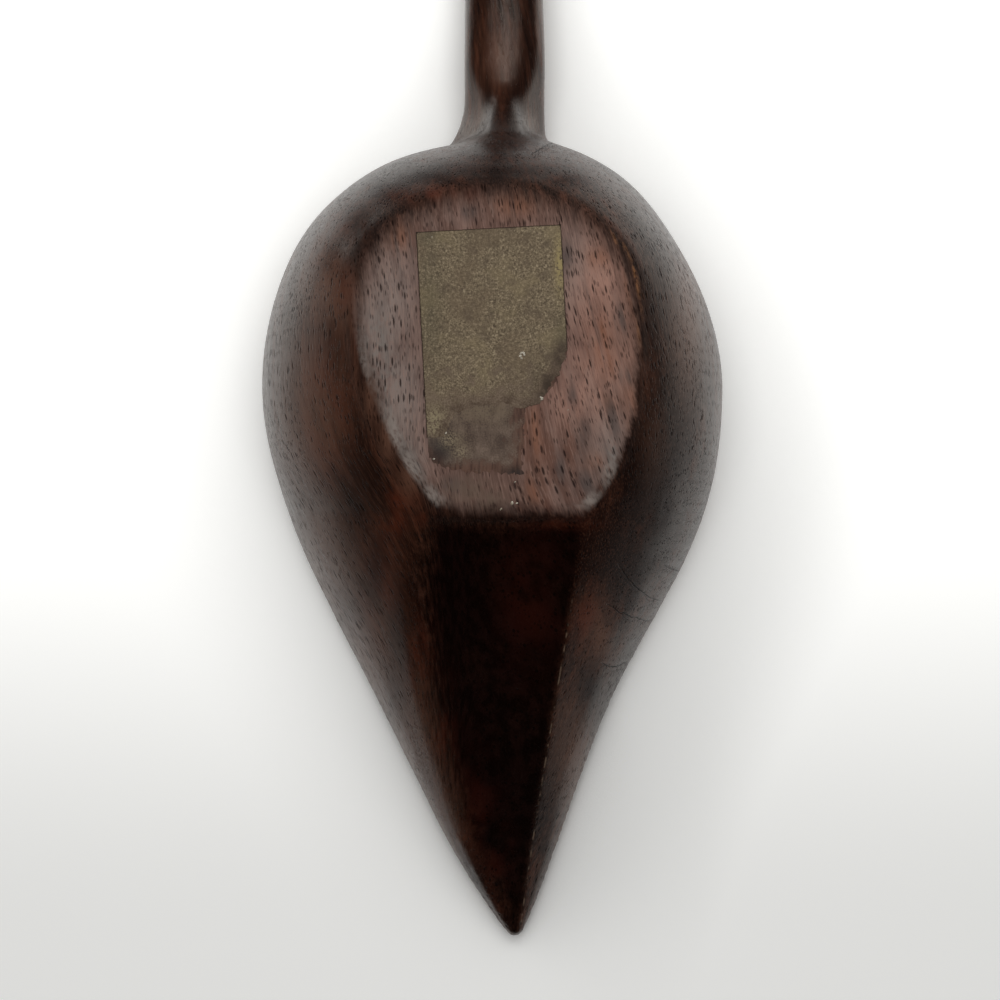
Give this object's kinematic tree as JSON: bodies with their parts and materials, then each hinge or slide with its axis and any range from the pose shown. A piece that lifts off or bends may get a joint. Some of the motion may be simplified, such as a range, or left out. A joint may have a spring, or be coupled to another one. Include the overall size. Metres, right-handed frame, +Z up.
{
  "type": "carved wooden scoop",
  "caption": "Hand-carved wooden scoop: deep leaf-shaped bowl with a pointed pouring spout, flat foot and slim rising handle, with torn label remains under the foot.",
  "frame": {"origin": "middle of the flat foot under the bowl, on the surface that the scoop stands on", "axes": "+Z up out of the open bowl, +X toward the pointed spout, -X along the handle"},
  "size_m": [0.2749, 0.0884, 0.0517],
  "materials": {
    "carved_wood": "satin, oiled, open grained",
    "dried_glue": "dull, dried and yellowed",
    "label_paper": "matte, soiled and fibrous"
  },
  "bodies": {
    "root": {"scoop_body": "carved_wood", "label_glue": "dried_glue", "label_sheet": "label_paper"}
  },
  "joints": []
}
